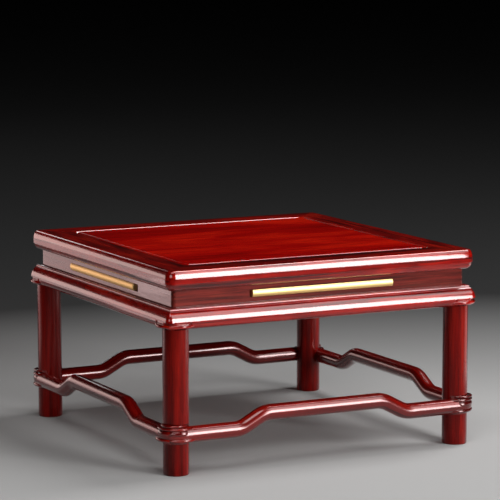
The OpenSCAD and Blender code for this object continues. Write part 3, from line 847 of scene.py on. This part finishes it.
def bar_section():
    """Circle of the bar at every station, cut off where it would enter the leg.
    The cut lies at the leg's flat, or at the leg's round where that is nearer to the axis."""
    psi = np.linspace(0, 2 * math.pi, BAR_POINTS, endpoint=False)
    short = np.concatenate([LEG_AXIS - bar_y, np.zeros(len(wrap))])
    angle = np.concatenate([zero, wrap])
    leg_round = np.sqrt(np.clip((LEG_R + GLUE) ** 2 - short ** 2, 0, None))
    leg_wall = np.minimum(leg_round, FLAT + GLUE) / np.cos(angle) - BAR_OUT
    cut = np.where(short < LEG_R + GLUE, leg_wall, -BAR_R)
    out = np.maximum(BAR_R * np.cos(psi), cut[:, None])
    return out, np.broadcast_to(BAR_R * np.sin(psi), out.shape)


out, up = bar_section()
half_bar = middle[:, None] + out[..., None] * outward[:, None] + up[..., None] * upward[:, None]
bar = np.concatenate([half_bar[:0:-1] * MIRROR_Y, half_bar])
path_length = np.concatenate([[0], np.cumsum(np.linalg.norm(np.diff(middle, axis=0), axis=1))])
half_board = np.stack(np.broadcast_arrays(path_length[:, None], out, up), axis=-1)
bar_board = np.concatenate([half_board[:0:-1] * (-1, 1, 1), half_board])
print("bar points:", bar.shape)

# %% Mouldings at the ends of a stretcher
PROUD = 0.1
REACH = BAR_OUT + BAR_R + PROUD
WRAP_STEPS = 61
WRAP_START = -53


def wrap_bead(r, up, start, set_out=0.0, end=345, points=24):
    """A round bead that wraps the leg: a circle of radius r whose outside lies at REACH from the leg's
    axis, less the distance that its own axis is set out, and whose middle lies up above the bar's."""
    outline = arc(REACH - set_out - r, BAR_Z + up, r, 0, end, points)
    return leg_ring(outline, start, MITRE_DEGREES, WRAP_STEPS, set_out)


def infill():
    """Fills the leg's flat to its round: at each angle a rectangle from flat / cos(angle) to the leg's
    radius."""
    angle = np.radians(np.linspace(WRAP_START, MITRE_DEGREES, WRAP_STEPS))[:, None]
    inner = (FLAT + GLUE) / np.cos(angle)
    rho = np.where((False, True, True, False), LEG_R, inner)
    z = np.array([-WRAP_DOWN, -WRAP_DOWN, WRAP_UP, WRAP_UP]) + BAR_Z
    return np.stack([LEG_AXIS + rho * np.cos(angle), LEG_AXIS + rho * np.sin(angle),
                     np.broadcast_to(z, rho.shape)], axis=-1)


nose = wrap_bead(r=1.4, up=0.6, start=-60, end=352, points=45)
bar_lip = wrap_bead(r=0.6, up=-1.65, start=-50, set_out=-1.2)
large_bead = wrap_bead(r=0.45, up=2.2, start=-52)
small_bead = wrap_bead(r=0.4, up=3.3, start=-90, set_out=1.75)
mouldings = [nose, bar_lip, large_bead, small_bead, infill()]
mouldings += [ring * MIRROR_Y for ring in mouldings]
print("mouldings on a stretcher:", len(mouldings))

# %% Stretchers
STRETCHER_BOARD = 51
for side, turns in QUARTER_TURNS.items():
    board = STRETCHER_BOARD + turns
    shells = [(turned(bar, side), bar_board + BOARD_STEP * board)]
    shells += [(turned(ring, side), board_place(ring, board)) for ring in mouldings]
    piece("hump_stretcher_" + side, shells, stretcher_wood, "stretcher_" + side)

# %% [markdown]
# Floor
#
# The stand is on a plain pale floor in a dim room. The floor's colour holds a painted pool of light: it
# is palest in front of the stand and darkens with distance, so that the lacquer mirrors no bright horizon.
# A narrow lamp could make such a pool too, but the colour leaves the light on the stand plain. The floor has
# no gloss.

# %% Floor
FLOOR_HALF = 6
# Painted pool of light on the floor: its middle, and its colour from pale near the stand to dark farther off
PAINTED_POOL_MIDDLE = (0.03, -0.13, 0)
PAINTED_POOL_STOPS = [(0.14, (0.40, 0.398, 0.395)), (0.42, (0.036, 0.036, 0.036))]
FLOOR_ROUGHNESS = 0.8
floor_corners = [(-FLOOR_HALF, -FLOOR_HALF, 0), (FLOOR_HALF, -FLOOR_HALF, 0),
                 (FLOOR_HALF, FLOOR_HALF, 0), (-FLOOR_HALF, FLOOR_HALF, 0)]
floor_mesh = bpy.data.meshes.new("floor")
floor_mesh.from_pydata(floor_corners, [], [(0, 1, 2, 3)])
floor = bpy.data.objects.new("floor", floor_mesh)
bpy.context.collection.objects.link(floor)
floor_paint = bpy.data.materials.new("floor_with_painted_pool")
floor_paint.use_nodes = True
floor_tree = floor_paint.node_tree
floor_shader = floor_tree.nodes["Principled BSDF"]
floor_place = add_node(floor_tree, "ShaderNodeTexCoord")
floor_far = add_node(floor_tree, "ShaderNodeVectorMath", operation="DISTANCE")
floor_far.inputs[1].default_value = PAINTED_POOL_MIDDLE
floor_tree.links.new(floor_place.outputs["Object"], floor_far.inputs[0])
# The painted pool of light: the floor's colour by its distance from the pool's middle
painted_pool_colour = ramp(floor_tree, floor_far.outputs["Value"], PAINTED_POOL_STOPS)
floor_tree.links.new(painted_pool_colour, floor_shader.inputs["Base Color"])
floor_shader.inputs["Roughness"].default_value = FLOOR_ROUGHNESS
floor_shader.inputs["Specular IOR Level"].default_value = 0
floor_mesh.materials.append(floor_paint)
print("floor:", 2 * FLOOR_HALF, "m square")

# %% [markdown]
# Light
#
# Lacquer shows every lamp as a band, so each lamp stands where a band on the stand mirrors it. A tall
# soft box, far off at the front right, draws the white bands along the front mouldings. Boxes above the
# front, overhead and at the top left light the panel and the legs. The one overhead is set back, so
# that the stretchers lie in the shade of the top. Warm cards at the back left, two standing and one
# lying, are mirrored in the left-hand faces. A card lying at the right gives the legs a pale right
# edge, a box behind lights the back edges, and a wide fill lifts the shadows at the front left.

# %% Soft boxes
WHITE_LIGHT = (1, 1, 1)


def soft_box(name, place, aim, size, radiance, colour=WHITE_LIGHT):
    """An area lamp that faces a point.
    A flat lamp of that radiance and area sends out pi times their product, in watts."""
    width, height = size
    data = bpy.data.lights.new(name, "AREA")
    data.shape = "RECTANGLE"
    data.size = width
    data.size_y = height
    data.energy = math.pi * width * height * radiance
    data.color = colour
    lamp = bpy.data.objects.new(name, data)
    to_aim = np.array(aim) - np.array(place)
    level = math.hypot(to_aim[0], to_aim[1])
    lamp.location = place
    lamp.rotation_euler = (math.atan2(level, -to_aim[2]), 0, math.atan2(to_aim[1], to_aim[0]) - math.pi / 2)
    bpy.context.collection.objects.link(lamp)
    print(name, round(data.energy, 2), "W")


TOP_MIDDLE = (0, 0, 0.07)
APRON_MIDDLE = (0, 0, 0.05)
soft_box("front_right_box", (0.73, -1.49, 0.47), (0, -0.06, 0.47), (0.46, 0.92), 18)
soft_box("upper_front_box", (0.31, -0.44, 0.53), TOP_MIDDLE, (0.30, 0.34), 3.6)
soft_box("overhead_box", (0.34, 0.01, 0.72), TOP_MIDDLE, (0.22, 0.36), 13.5)
soft_box("back_edge_box", (0.12, 1.15, 0.52), TOP_MIDDLE, (0.30, 0.12), 2.0)
soft_box("top_left_box", (-0.20, -0.36, 0.78), APRON_MIDDLE, (0.45, 0.36), 4.4)
soft_box("front_left_fill", (-0.85, -0.85, 0.50), APRON_MIDDLE, (0.60, 0.40), 3.0)

# %% Cards
soft_box("back_left_card", (-0.22, 0.30, 0.080), (-0.06, 0, 0.06), (0.30, 0.072), 2.0, (1, 0.74, 0.69))
soft_box("back_left_low_card", (-0.22, 0.30, 0.022), (-0.06, 0, 0.022), (0.30, 0.044), 1.05, (1, 0.76, 0.74))
soft_box("back_left_floor_card", (-0.229, 0.217, 0.002), (-0.2335, 0.22591, 1.002), (0.12, 0.24), 1.2,
         (1, 0.74, 0.73))
soft_box("right_floor_card", (0.28, -0.10, 0.002), (0.2898, -0.1019, 1.002), (0.12, 0.26), 1.6,
         (1, 0.82, 0.80))

# %% Room
ROOM_GREY = (0.003, 0.003, 0.003, 1)
world = bpy.data.worlds.new("dim_room")
world.use_nodes = True
world.node_tree.nodes["Background"].inputs["Color"].default_value = ROOM_GREY
bpy.context.scene.world = world
bpy.context.scene.view_settings.view_transform = "Standard"
print("room:", world.name)
